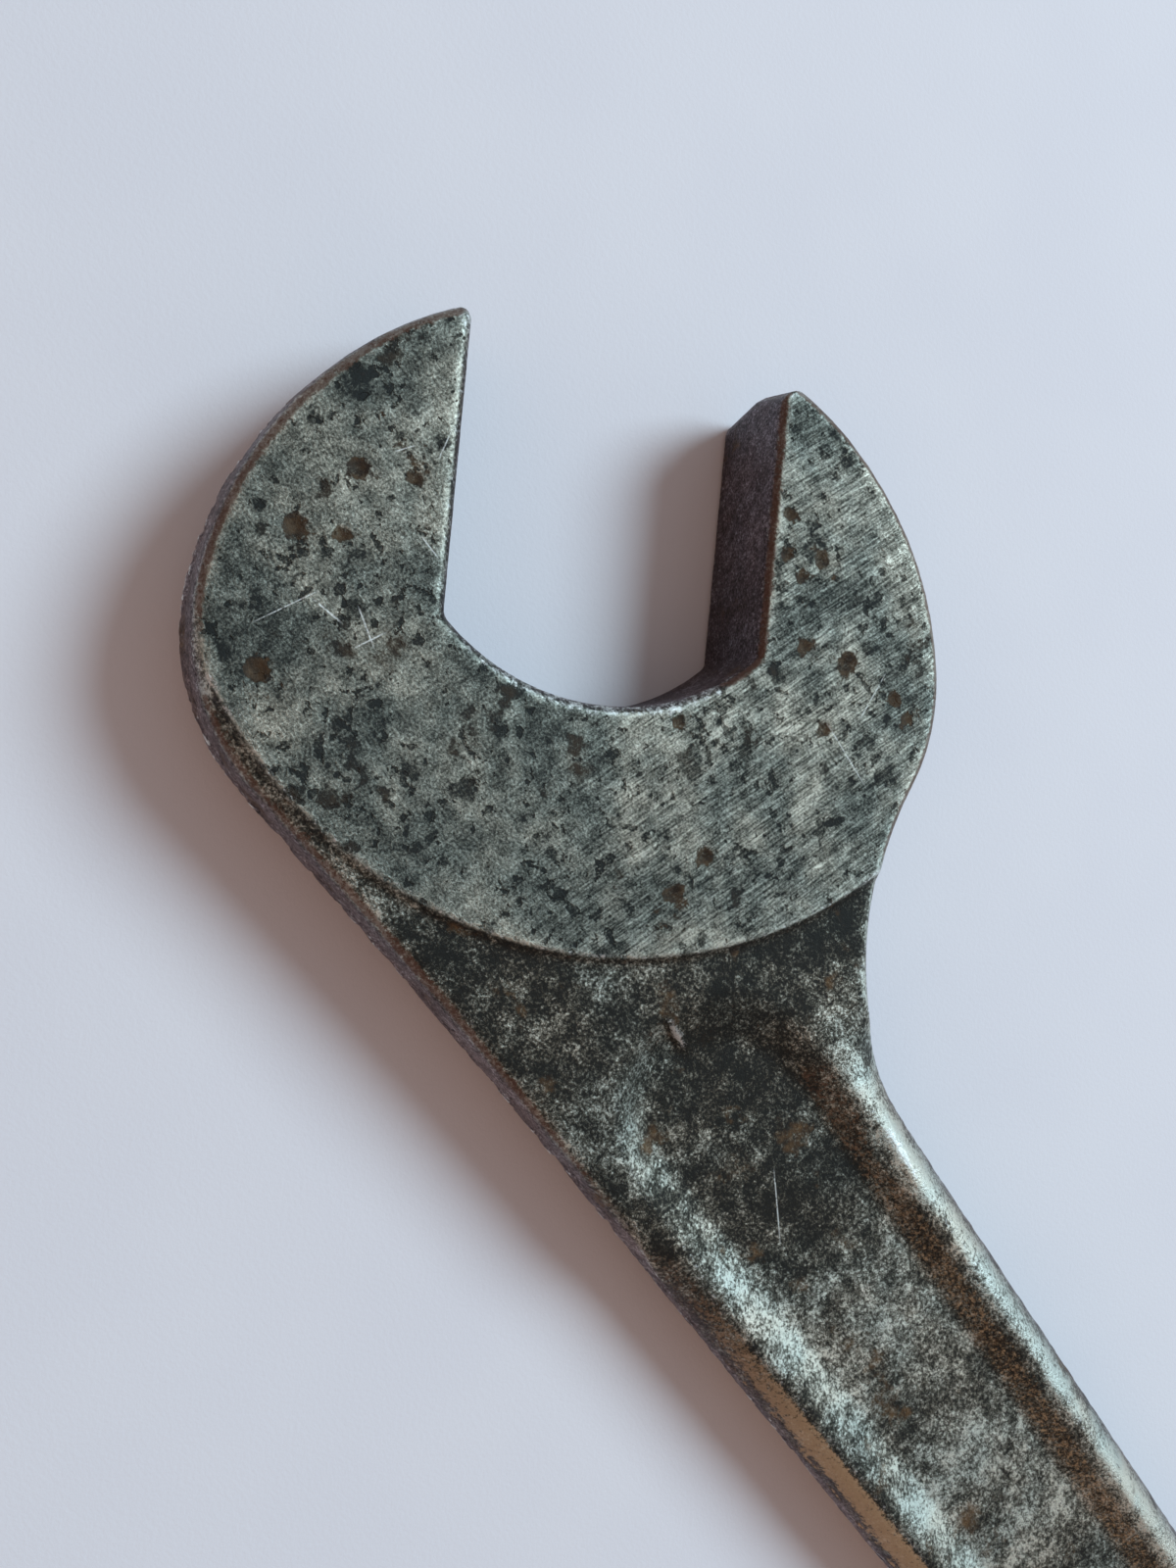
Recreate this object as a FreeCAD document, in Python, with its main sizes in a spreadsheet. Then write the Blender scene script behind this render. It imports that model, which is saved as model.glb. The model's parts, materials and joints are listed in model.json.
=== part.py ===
import FreeCAD, Part
import math
import os
import Sketcher
from FreeCAD import Placement, Rotation, Vector

# Hydrant wrench: one drop forging, an open jaw set at an angle on a tapering handle, with a shallow
# dish down each face of the handle and a hanging eye at the far end.
#
# Model frame: X runs along the handle towards the jaw, Z is up, and Z = 0 is the parting line of the
# forging. The head's centre is the origin until the last step, which moves the origin to the middle
# of the underside. The upper half is made first, then mirrored in the parting line.

doc = FreeCAD.newDocument("hydrant_wrench")
sheet = doc.addObject("Spreadsheet::Sheet", "size")

SIZES = [
    ("overall_length", 330.0),
    ("across_flats", 32.0),
    ("jaw_angle", 42.4),          # degrees from the handle's axis to the jaw's axis
    ("jaw_reach", 34.2),          # head centre to the tips, along the jaw's axis
    ("throat_radius", 23.0),
    ("throat_centre", 20.7),      # head centre to the throat arc's centre
    ("side_radius", 36.8),        # outer curve of each jaw arm
    ("side_shift", 2.2),          # each arm's centre is this far out from the jaw's axis
    ("corner_radius", 22.5),      # where an arm turns in towards the handle
    ("corner_turn", 8.5),         # degrees up the jaw at which that turn begins
    ("outer_neck_radius", 1000.0),
    ("inner_neck_radius", 33.0),
    ("handle_shift", 14.7),       # handle's axis is this far to one side of the head's centre
    ("handle_width", 34.0),       # width the flanks would have level with the head's centre
    ("handle_taper", 0.9),        # degrees that each flank leans in
    ("half_thickness", 7.0),      # parting line to the ground face of the head
    ("flank_draft", 9.0),
    ("face_radius", 45.7),        # ground face's lower edge
    ("face_centre_across", -3.4),   # measured towards the outer arm
    ("face_centre_along", 19.3),
    ("face_step", 0.7),
    ("step_run", 0.6),
    ("neck_run", 34.0),           # length over which the neck falls to the handle's height
    ("rim_height", 4.8),          # parting line to the handle's rim
    ("dish_radius", 46.0),
    ("dish_start", 27.0),         # head centre to the dish's upper end
    ("dish_slope_run", 32.0),
    ("dish_floor", 3.2),
    ("dish_far_floor", 3.9),
    ("dish_end_gap", 24.0),       # from the eye's centre to the dish's lower end
    ("eye_radius", 15.0),
    ("eye_hole_radius", 6.0),
    ("eye_blend", 14.0),
    ("outer_round", 1.5),
    ("eye_bevel", 1.0),
    ("jaw_bevel", 0.7),
    ("hole_bevel", 1.0),
]
for row, (name, value) in enumerate(SIZES, start=1):
    sheet.set("A%d" % row, name)
    sheet.set("B%d" % row, str(value))
    sheet.setAlias("B%d" % row, name)
doc.recompute()


def size(name):
    return float(sheet.get(name))


body = doc.addObject("PartDesign::Body", "wrench_forging")
body.Label = "wrench_forging"
PLANES = {feature.Role: feature for feature in body.Origin.OriginFeatures}


def newSketch(name, plane):
    sketch = body.newObject("Sketcher::SketchObject", name)
    sketch.AttachmentSupport = [(PLANES[plane], "")]
    sketch.MapMode = "FlatFace"
    return sketch


def limit(sketch, kind, *args, formula=None):
    # Adds one constraint, and binds its value to the sheet when a formula is given.
    index = sketch.addConstraint(Sketcher.Constraint(kind, *args))
    if formula:
        sketch.setExpression("Constraints[%d]" % index, formula)
    return index


def edgesWhere(feature, test):
    edges = feature.Shape.Edges
    return ["Edge%d" % (i + 1) for i in range(len(edges)) if test(edges[i])]


def middle(edge):
    return edge.valueAt((edge.FirstParameter + edge.LastParameter) / 2)


# ---- plan of the forging at the parting line ----------------------------------------------------

turn = math.radians(size("jaw_angle"))
JAW = Vector(math.cos(turn), -math.sin(turn), 0)          # out of the jaw
ACROSS = Vector(math.sin(turn), math.cos(turn), 0)        # towards the outer arm
UP = Vector(0, 0, 1)


def headPoint(across, along):
    return ACROSS * across + JAW * along


def sideOfHead(side):
    # side is 1 for the outer arm, on the handle's straight flank, and -1 for the inner arm.
    arm = headPoint(side * size("side_shift"), 0)
    turnIn = math.radians(size("corner_turn"))
    reach = size("side_radius") - size("corner_radius")
    corner = arm + headPoint(side * reach * math.cos(turnIn), reach * math.sin(turnIn))
    tipAcross = math.sqrt(size("side_radius") ** 2 - size("jaw_reach") ** 2) + size("side_shift")
    tip = headPoint(side * tipAcross, size("jaw_reach"))

    lean = math.radians(size("handle_taper"))
    along = Vector(math.cos(lean), side * math.sin(lean), 0)
    outward = Vector(-math.sin(lean), side * math.cos(lean), 0)
    start = Vector(0, size("handle_shift") + side * size("handle_width") / 2, 0)
    neckRadius = size("outer_neck_radius") if side > 0 else size("inner_neck_radius")
    height = (corner - start).dot(outward)
    station = (corner - start).dot(along)
    run = math.sqrt((neckRadius + size("corner_radius")) ** 2 - (neckRadius - height) ** 2)
    flankTop = start + along * (station - run)
    neck = flankTop + outward * neckRadius
    meet = corner + (neck - corner).normalize() * size("corner_radius")
    turnPoint = arm + (corner - arm).normalize() * size("side_radius")
    return {"arm": arm, "corner": corner, "neck": neck, "neckRadius": neckRadius, "tip": tip,
            "turnPoint": turnPoint, "meet": meet, "flankTop": flankTop, "along": along,
            "start": start}


def arc(centre, radius, first, last):
    # Anticlockwise from first to last.
    a = math.atan2(first.y - centre.y, first.x - centre.x)
    b = math.atan2(last.y - centre.y, last.x - centre.x)
    return Part.ArcOfCircle(Part.Circle(centre, UP, radius), a, b)


eyeStation = size("side_shift") * math.sin(turn) + size("side_radius")
eyeStation = eyeStation - size("overall_length") + size("eye_radius")
EYE_FORMULA = ("size.side_shift * sin(size.jaw_angle) + size.side_radius"
               " - size.overall_length + size.eye_radius")


def flankAt(side, station):
    return side["start"] + side["along"] * ((station - side["start"].x) / side["along"].x)


outer = sideOfHead(1)
inner = sideOfHead(-1)
outerEnd = flankAt(outer, eyeStation)
innerEnd = flankAt(inner, eyeStation)

plan = newSketch("plan", "XY_Plane")
outline = [
    Part.LineSegment(inner["tip"], outer["tip"]),
    arc(outer["arm"], size("side_radius"), outer["tip"], outer["turnPoint"]),
    arc(outer["corner"], size("corner_radius"), outer["turnPoint"], outer["meet"]),
    arc(outer["neck"], outer["neckRadius"], outer["flankTop"], outer["meet"]),
    Part.LineSegment(outer["flankTop"], outerEnd),
    Part.LineSegment(outerEnd, innerEnd),
    Part.LineSegment(innerEnd, inner["flankTop"]),
    arc(inner["neck"], inner["neckRadius"], inner["meet"], inner["flankTop"]),
    arc(inner["corner"], size("corner_radius"), inner["meet"], inner["turnPoint"]),
    arc(inner["arm"], size("side_radius"), inner["turnPoint"], inner["tip"]),
]
plan.addGeometry(outline, False)
TIPS, ARM_O, CORNER_O, NECK_O, FLANK_O, END, FLANK_I, NECK_I, CORNER_I, ARM_I = range(len(outline))
START, FINISH, CENTRE = 1, 2, 3
ORIGIN = -1

limit(plan, "Coincident", TIPS, FINISH, ARM_O, START)
limit(plan, "Tangent", ARM_O, FINISH, CORNER_O, START)
limit(plan, "Tangent", CORNER_O, FINISH, NECK_O, FINISH)
limit(plan, "Tangent", NECK_O, START, FLANK_O, START)
limit(plan, "Coincident", FLANK_O, FINISH, END, START)
limit(plan, "Coincident", END, FINISH, FLANK_I, START)
limit(plan, "Tangent", FLANK_I, FINISH, NECK_I, FINISH)
limit(plan, "Tangent", NECK_I, START, CORNER_I, START)
limit(plan, "Tangent", CORNER_I, FINISH, ARM_I, START)
limit(plan, "Coincident", ARM_I, FINISH, TIPS, START)

for arm, corner, neck, flank, side, sign in [
    (ARM_O, CORNER_O, NECK_O, FLANK_O, outer, "1"),
    (ARM_I, CORNER_I, NECK_I, FLANK_I, inner, "-1"),
]:
    neckName = "outer_neck_radius" if side is outer else "inner_neck_radius"
    limit(plan, "DistanceX", ORIGIN, START, arm, CENTRE, side["arm"].x,
          formula=sign + " * size.side_shift * sin(size.jaw_angle)")
    limit(plan, "DistanceY", ORIGIN, START, arm, CENTRE, side["arm"].y,
          formula=sign + " * size.side_shift * cos(size.jaw_angle)")
    limit(plan, "Radius", arm, size("side_radius"), formula="size.side_radius")
    limit(plan, "Radius", corner, size("corner_radius"), formula="size.corner_radius")
    limit(plan, "Radius", neck, side["neckRadius"], formula="size." + neckName)
    limit(plan, "DistanceY", ORIGIN, START, corner, CENTRE, side["corner"].y,
          formula=sign + " * size.side_shift * cos(size.jaw_angle)"
          " + (size.side_radius - size.corner_radius) * (" + sign
          + " * cos(size.corner_turn) * cos(size.jaw_angle)"
          " - sin(size.corner_turn) * sin(size.jaw_angle))")

# The flanks' places: their distance from the head's centre, and their lean.
limit(plan, "Distance", ORIGIN, START, FLANK_O,
      (size("handle_shift") + size("handle_width") / 2) * math.cos(math.radians(size("handle_taper"))),
      formula="(size.handle_shift + size.handle_width / 2) * cos(size.handle_taper)")
limit(plan, "Distance", ORIGIN, START, FLANK_I,
      (size("handle_width") / 2 - size("handle_shift")) * math.cos(math.radians(size("handle_taper"))),
      formula="(size.handle_width / 2 - size.handle_shift) * cos(size.handle_taper)")
limit(plan, "Angle", FLANK_I, -math.radians(size("handle_taper")),
      formula="-1 * size.handle_taper * 1 deg")
limit(plan, "Angle", FLANK_O, math.radians(size("handle_taper") - 180),
      formula="(size.handle_taper - 180) * 1 deg")
limit(plan, "Angle", TIPS, math.radians(90 - size("jaw_angle")),
      formula="(90 - size.jaw_angle) * 1 deg")
limit(plan, "Distance", ORIGIN, START, TIPS, size("jaw_reach"), formula="size.jaw_reach")
limit(plan, "Vertical", END)
limit(plan, "DistanceX", ORIGIN, START, END, START, eyeStation, formula=EYE_FORMULA)

blank = body.newObject("PartDesign::Pad", "blank")
blank.Profile = plan
blank.setExpression("Length", "size.half_thickness")
doc.recompute()


def facesWhere(feature, test):
    faces = feature.Shape.Faces
    return ["Face%d" % (i + 1) for i in range(len(faces)) if test(faces[i])]


def isUpright(face):
    u0, u1, v0, v1 = face.ParameterRange
    return abs(face.normalAt((u0 + u1) / 2, (v0 + v1) / 2).z) < 0.01


drafted = body.newObject("PartDesign::Draft", "flank_draft")
drafted.Base = (blank, facesWhere(blank, isUpright))
drafted.NeutralPlane = (PLANES["XY_Plane"], [""])
drafted.setExpression("Angle", "size.flank_draft")
drafted.Reversed = False
doc.recompute()
if drafted.Shape.Volume > blank.Shape.Volume:
    drafted.Reversed = True
    doc.recompute()

# ---- neck and handle lowered from the ground face, round the face's lower edge -------------------

faceCentre = headPoint(size("face_centre_across"), size("face_centre_along"))
reliefPlan = newSketch("neck_profile", "XZ_Plane")
reliefPlan.AttachmentOffset = Placement(Vector(faceCentre.x, 0, -faceCentre.y), Rotation())
reliefPlan.setExpression("AttachmentOffset.Base.x", "size.face_centre_across * sin(size.jaw_angle)"
                         " + size.face_centre_along * cos(size.jaw_angle)")
reliefPlan.setExpression("AttachmentOffset.Base.z", "-1 * (size.face_centre_across"
                         " * cos(size.jaw_angle) - size.face_centre_along * sin(size.jaw_angle))")


def closedOutline(sketch, corners):
    # Straight-sided closed outline. Each corner is (x, y, formula for x, formula for y).
    count = len(corners)
    points = [Vector(x, y, 0) for x, y, _, _ in corners]
    for i in range(count):
        sketch.addGeometry(Part.LineSegment(points[i], points[(i + 1) % count]), False)
    for i in range(count):
        limit(sketch, "Coincident", i, FINISH, (i + 1) % count, START)
    for i, (x, y, acrossFormula, upFormula) in enumerate(corners):
        limit(sketch, "DistanceX", ORIGIN, START, i, START, x, formula=acrossFormula)
        limit(sketch, "DistanceY", ORIGIN, START, i, START, y, formula=upFormula)


clear = 3.0                       # how far a cutting outline runs past the metal
top = size("half_thickness")
stepFoot = size("face_radius") + size("step_run")
closedOutline(reliefPlan, [
    (size("face_radius"), top, "size.face_radius", "size.half_thickness"),
    (stepFoot, top - size("face_step"), "size.face_radius + size.step_run",
     "size.half_thickness - size.face_step"),
    (stepFoot + size("neck_run"), size("rim_height"),
     "size.face_radius + size.step_run + size.neck_run", "size.rim_height"),
    (size("overall_length") + clear, size("rim_height"), "size.overall_length + %g" % clear,
     "size.rim_height"),
    (size("overall_length") + clear, top + clear, "size.overall_length + %g" % clear,
     "size.half_thickness + %g" % clear),
    (size("face_radius"), top + clear, "size.face_radius", "size.half_thickness + %g" % clear),
])
relief = body.newObject("PartDesign::Groove", "neck_relief")
relief.Profile = reliefPlan
relief.ReferenceAxis = (reliefPlan, ["V_Axis"])
relief.Angle = 360
doc.recompute()

# ---- dish down the face of the handle -----------------------------------------------------------

dishEnd = eyeStation + size("dish_end_gap")
DISH_END_FORMULA = EYE_FORMULA + " + size.dish_end_gap"
dishProfile = newSketch("dish_profile", "XZ_Plane")
dishProfile.AttachmentOffset = Placement(Vector(0, 0, -size("handle_shift")), Rotation())
dishProfile.setExpression("AttachmentOffset.Base.z", "-1 * size.handle_shift")
farSlope = 9.0                    # length over which the dish's lower end rises
closedOutline(dishProfile, [
    (-size("dish_start"), top, "-1 * size.dish_start", "size.half_thickness"),
    (-size("dish_start"), top + clear, "-1 * size.dish_start", "size.half_thickness + %g" % clear),
    (dishEnd, top + clear, DISH_END_FORMULA, "size.half_thickness + %g" % clear),
    (dishEnd, top, DISH_END_FORMULA, "size.half_thickness"),
    (dishEnd + farSlope, size("dish_far_floor"), DISH_END_FORMULA + " + %g" % farSlope,
     "size.dish_far_floor"),
    (-size("dish_start") - size("dish_slope_run"), size("dish_floor"),
     "-1 * (size.dish_start + size.dish_slope_run)", "size.dish_floor"),
])
axisHeight = size("dish_floor") + size("dish_radius")
axisLine = Part.LineSegment(Vector(dishEnd, axisHeight, 0), Vector(0, axisHeight, 0))
axisIndex = dishProfile.addGeometry(axisLine, True)
limit(dishProfile, "Horizontal", axisIndex)
limit(dishProfile, "DistanceY", ORIGIN, START, axisIndex, START, axisHeight,
      formula="size.dish_floor + size.dish_radius")
dish = body.newObject("PartDesign::Groove", "handle_dish")
dish.Profile = dishProfile
dish.ReferenceAxis = (dishProfile, ["Axis0"])
dish.Midplane = True
dish.Angle = 120
doc.recompute()

# ---- eye at the far end -------------------------------------------------------------------------


def eyeCircle(name, radiusName):
    sketch = newSketch(name, "XY_Plane")
    centre = Vector(eyeStation, size("handle_shift"), 0)
    sketch.addGeometry(Part.Circle(centre, UP, size(radiusName)), False)
    limit(sketch, "Radius", 0, size(radiusName), formula="size." + radiusName)
    limit(sketch, "DistanceX", ORIGIN, START, 0, CENTRE, centre.x, formula=EYE_FORMULA)
    limit(sketch, "DistanceY", ORIGIN, START, 0, CENTRE, centre.y, formula="size.handle_shift")
    return sketch


eye = body.newObject("PartDesign::Pad", "eye")
eye.Profile = eyeCircle("eye_plan", "eye_radius")
eye.setExpression("Length", "size.half_thickness")
doc.recompute()


def steepness(face):
    u0, u1, v0, v1 = face.ParameterRange
    return abs(face.normalAt((u0 + u1) / 2, (v0 + v1) / 2).z)


def rimEdges(feature):
    # Edges where a flank meets a top face, all round but for the tips and the eye.
    shape = feature.Shape
    found = []
    for i, edge in enumerate(shape.Edges):
        faces = shape.ancestorsOfType(edge, Part.Face)
        slopes = sorted(steepness(face) for face in faces)
        onTips = middle(edge).dot(JAW) > size("jaw_reach") - clear
        if slopes[0] < 0.5 < slopes[-1] and edge.BoundBox.ZMax > 0.5 and not (onTips or edge.Closed):
            found.append("Edge%d" % (i + 1))
    return found


def fillet(name, base, edges, radiusFormula):
    rounded = body.newObject("PartDesign::Fillet", name)
    rounded.Base = (base, edges)
    rounded.setExpression("Radius", radiusFormula)
    rounded.Refine = False
    doc.recompute()
    return rounded


eyeBlend = fillet("eye_blend", eye, edgesWhere(eye, lambda edge: (
    edge.BoundBox.ZLength > 3 and abs(middle(edge).x - eyeStation) < size("eye_radius")
    and abs(middle(edge).y - size("handle_shift")) < size("eye_radius"))), "size.eye_blend")

outerRound = fillet("outer_round", eyeBlend, rimEdges(eyeBlend), "size.outer_round")

# The eye's own edge is bevelled by a triangle turned about its axis.
bevelProfile = newSketch("eye_bevel_profile", "XZ_Plane")
bevelProfile.AttachmentOffset = Placement(Vector(eyeStation, 0, -size("handle_shift")), Rotation())
bevelProfile.setExpression("AttachmentOffset.Base.x", EYE_FORMULA)
bevelProfile.setExpression("AttachmentOffset.Base.z", "-1 * size.handle_shift")
closedOutline(bevelProfile, [
    (size("eye_radius") - 2 * size("eye_bevel"), top + size("eye_bevel"),
     "size.eye_radius - 2 * size.eye_bevel", "size.half_thickness + size.eye_bevel"),
    (size("eye_radius") + size("eye_bevel"), top - 2 * size("eye_bevel"),
     "size.eye_radius + size.eye_bevel", "size.half_thickness - 2 * size.eye_bevel"),
    (size("eye_radius") + size("eye_bevel"), top + size("eye_bevel"),
     "size.eye_radius + size.eye_bevel", "size.half_thickness + size.eye_bevel"),
])
eyeBevel = body.newObject("PartDesign::Groove", "eye_bevel")
eyeBevel.Profile = bevelProfile
eyeBevel.ReferenceAxis = (bevelProfile, ["V_Axis"])
eyeBevel.Angle = 360
doc.recompute()

# ---- the same again below the parting line ------------------------------------------------------

whole = body.newObject("PartDesign::Mirrored", "lower_half")
whole.TransformMode = "Whole shape"
whole.MirrorPlane = (PLANES["XY_Plane"], [""])
body.Tip = whole
doc.recompute()

# ---- jaw opening and hanging hole ---------------------------------------------------------------

jawPlan = newSketch("jaw_plan", "XY_Plane")
jawPlan.AttachmentOffset = Placement(Vector(), Rotation(UP, -90 - size("jaw_angle")))
jawPlan.setExpression("AttachmentOffset.Rotation.Angle", "(-90 - size.jaw_angle) * 1 deg")
halfGap = size("across_flats") / 2
throat = Vector(0, size("throat_centre"), 0)
heel = size("throat_centre") - math.sqrt(size("throat_radius") ** 2 - halfGap ** 2)
mouth = size("jaw_reach") + clear
jawPlan.addGeometry([
    Part.LineSegment(Vector(-halfGap, mouth, 0), Vector(-halfGap, heel, 0)),
    arc(throat, size("throat_radius"), Vector(-halfGap, heel, 0), Vector(halfGap, heel, 0)),
    Part.LineSegment(Vector(halfGap, heel, 0), Vector(halfGap, mouth, 0)),
    Part.LineSegment(Vector(halfGap, mouth, 0), Vector(-halfGap, mouth, 0)),
], False)
FLAT_A, THROAT, FLAT_B, MOUTH = range(4)
Y_AXIS = -2
limit(jawPlan, "Coincident", FLAT_A, FINISH, THROAT, START)
limit(jawPlan, "Coincident", THROAT, FINISH, FLAT_B, START)
limit(jawPlan, "Coincident", FLAT_B, FINISH, MOUTH, START)
limit(jawPlan, "Coincident", MOUTH, FINISH, FLAT_A, START)
limit(jawPlan, "Vertical", FLAT_A)
limit(jawPlan, "Vertical", FLAT_B)
limit(jawPlan, "Horizontal", MOUTH)
limit(jawPlan, "DistanceX", ORIGIN, START, FLAT_A, START, -halfGap, formula="-1 * size.across_flats / 2")
limit(jawPlan, "DistanceX", ORIGIN, START, FLAT_B, FINISH, halfGap, formula="size.across_flats / 2")
limit(jawPlan, "DistanceY", ORIGIN, START, MOUTH, START, mouth, formula="size.jaw_reach + %g" % clear)
limit(jawPlan, "PointOnObject", THROAT, CENTRE, Y_AXIS)
limit(jawPlan, "DistanceY", ORIGIN, START, THROAT, CENTRE, throat.y, formula="size.throat_centre")
limit(jawPlan, "Radius", THROAT, size("throat_radius"), formula="size.throat_radius")


def cutThrough(name, sketch):
    cut = body.newObject("PartDesign::Pocket", name)
    cut.Profile = sketch
    cut.SideType = "Symmetric"
    cut.setExpression("Length", "size.half_thickness * 4")
    doc.recompute()
    return cut


jaw = cutThrough("jaw", jawPlan)
hole = cutThrough("hanging_hole", eyeCircle("hole_plan", "eye_hole_radius"))


# ---- bevels -------------------------------------------------------------------------------------


def bevel(name, base, test, formula):
    chamfer = body.newObject("PartDesign::Chamfer", name)
    chamfer.Base = (base, edgesWhere(base, test))
    chamfer.setExpression("Size", formula)
    doc.recompute()
    return chamfer


def onFace(edge):
    return edge.BoundBox.ZLength < 0.01 and abs(abs(middle(edge).z) - top) < 0.01


def isRing(edge, radius):
    return edge.Closed and onFace(edge) and abs(edge.Length - 2 * math.pi * radius) < 0.1


def isJawEdge(edge):
    return (onFace(edge) and abs(middle(edge).dot(ACROSS)) < halfGap + 0.1
            and middle(edge).dot(JAW) > size("throat_centre") - size("throat_radius") - 0.1)


holeBevel = bevel("hole_bevel", hole, lambda edge: isRing(edge, size("eye_hole_radius")),
                  "size.hole_bevel")
jawBevel = bevel("jaw_bevel", holeBevel, isJawEdge, "size.jaw_bevel")

# ---- origin to the middle of the underside ------------------------------------------------------

body.Tip = jawBevel
doc.recompute()
box = body.Shape.optimalBoundingBox(True, False)
body.Placement = Placement(Vector(-box.Center.x, -box.Center.y, -box.ZMin), Rotation())
doc.recompute()

# ---- checks and export --------------------------------------------------------------------------

for item in doc.Objects:
    if "Invalid" in item.State or "Error" in item.State:
        raise RuntimeError(item.Name + " failed")
for cut, before in [(relief, drafted), (dish, relief), (jaw, whole), (hole, jaw)]:
    if cut.Shape.Volume >= before.Shape.Volume - 1:
        raise RuntimeError(cut.Name + " cut nothing")
if body.Shape.isNull() or not body.Shape.isValid() or len(body.Shape.Solids) != 1:
    raise RuntimeError("the forging isn't one sound solid")

os.makedirs("parts", exist_ok=True)
body.Shape.exportStep(os.path.join("parts", body.Label + ".step"))
print("volume", round(body.Shape.Volume), "box", body.Shape.optimalBoundingBox(True, False))
print("head centre", body.Placement.Base)
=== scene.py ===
import json
import math

import bpy
import numpy as np
from mathutils import Matrix, Vector, kdtree


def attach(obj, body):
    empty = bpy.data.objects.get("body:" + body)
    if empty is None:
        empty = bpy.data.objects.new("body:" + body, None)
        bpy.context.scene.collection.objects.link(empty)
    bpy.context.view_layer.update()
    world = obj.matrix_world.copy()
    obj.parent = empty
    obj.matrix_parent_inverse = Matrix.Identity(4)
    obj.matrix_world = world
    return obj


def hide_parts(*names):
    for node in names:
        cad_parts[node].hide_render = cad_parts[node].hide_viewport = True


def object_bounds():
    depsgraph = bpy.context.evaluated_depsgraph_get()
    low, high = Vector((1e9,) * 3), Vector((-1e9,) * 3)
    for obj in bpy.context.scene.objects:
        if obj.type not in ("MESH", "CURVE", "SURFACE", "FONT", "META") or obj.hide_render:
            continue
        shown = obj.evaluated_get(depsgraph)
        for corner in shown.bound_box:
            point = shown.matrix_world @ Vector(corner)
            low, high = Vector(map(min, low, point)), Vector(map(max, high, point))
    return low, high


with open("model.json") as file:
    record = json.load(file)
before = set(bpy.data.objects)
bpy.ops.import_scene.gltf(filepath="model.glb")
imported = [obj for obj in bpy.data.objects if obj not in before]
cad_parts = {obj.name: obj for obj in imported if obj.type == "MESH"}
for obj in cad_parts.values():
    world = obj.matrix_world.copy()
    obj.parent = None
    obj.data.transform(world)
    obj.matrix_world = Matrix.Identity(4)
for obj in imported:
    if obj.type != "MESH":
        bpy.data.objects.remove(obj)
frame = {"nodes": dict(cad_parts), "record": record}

mm = 0.001
cadBox = [list(corner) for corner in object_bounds()]
scene = bpy.context.scene

# the head's own axes: across points to the outer arm, jaw points out of the mouth
mounts = {mount["name"]: mount for mount in frame["record"]["mounts"]}
across = -np.array(mounts["outer_jaw_flat"]["axis"], float)
jaw = np.array([across[1], -across[0], 0.0])
midPlane = (cadBox[0][2] + cadBox[1][2]) / 2
faceBehindCentre = 12      # mm from the head's centre back to the ground face's mount
headCentre = np.array(mounts["ground_face"]["pos_m"], float) + faceBehindCentre * mm * jaw
headCentre[2] = midPlane


def smoothStep(low, high, value):
    share = np.clip((value - low) / (high - low), 0, 1)
    return share * share * (3 - 2 * share)


# camera, window and room
cameraPlace = {
    "offset": (17.353, 35.139, 112.77),      # mm from the head's centre
    "right": (-0.56519, -0.75688, 0.32816),
    "up": (0.79628, -0.60450, -0.02282),
    "lens": 27.0,
}
camera = bpy.data.objects.new("camera", bpy.data.cameras.new("camera"))
scene.collection.objects.link(camera)
right = Vector(cameraPlace["right"]).normalized()
up = Vector(cameraPlace["up"]).normalized()
back = right.cross(up).normalized()
camera.matrix_world = Matrix.Translation(Vector(headCentre) + Vector(cameraPlace["offset"]) * mm) @ \
    Matrix((right, back.cross(right), back)).transposed().to_4x4()
camera.data.lens = cameraPlace["lens"]
camera.data.sensor_width = 36.0
camera.data.clip_start = 0.005
scene.camera = camera

light = {
    "from": (-0.25, -0.97, 1.02),            # towards the window side
    "distance": 1.6,
    "size": 0.8,
    "power": 22.5,
    "colour": (0.70, 0.88, 1.0),
    "roomCool": (0.25, 0.28, 0.31),          # from the window side
    "roomWarm": (0.41, 0.255, 0.195),        # from the side away from it
}


def addAreaLight(name, aim, direction, distance, size, power, colour):
    lamp = bpy.data.lights.new(name, "AREA")
    lamp.shape = "DISK"
    lamp.size = size
    lamp.energy = power
    lamp.color = colour
    holder = bpy.data.objects.new(name, lamp)
    scene.collection.objects.link(holder)
    way = Vector(direction).normalized()
    holder.location = Vector(aim) + way * distance
    holder.rotation_euler = way.to_track_quat("Z", "Y").to_euler()


addAreaLight("window", headCentre, light["from"], light["distance"], light["size"],
             light["power"], light["colour"])
world = bpy.data.worlds.new("room")
scene.world = world
world.use_nodes = True
scene.view_settings.view_transform = "Standard"


# short forms for making nodes
def newGroup(name, inputs, outputs, kind="ShaderNodeTree"):
    tree = bpy.data.node_groups.new(name, kind)
    for label, socketKind, value in inputs:
        socket = tree.interface.new_socket(label, in_out="INPUT", socket_type=socketKind)
        if value is not None:
            socket.default_value = value
    for label, socketKind in outputs:
        tree.interface.new_socket(label, in_out="OUTPUT", socket_type=socketKind)
    start = tree.nodes.new("NodeGroupInput")
    end = tree.nodes.new("NodeGroupOutput")
    return tree, start, end


def feed(tree, node, values):
    for name, value in values.items():
        socket = node.inputs[name]
        if isinstance(value, bpy.types.NodeSocket):
            tree.links.new(value, socket)
        else:
            socket.default_value = value
    return node


def mathNode(tree, operation, *values, clamp=False):
    node = tree.nodes.new("ShaderNodeMath")
    node.operation = operation
    node.use_clamp = clamp
    feed(tree, node, dict(enumerate(values)))
    return node.outputs[0]


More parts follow.
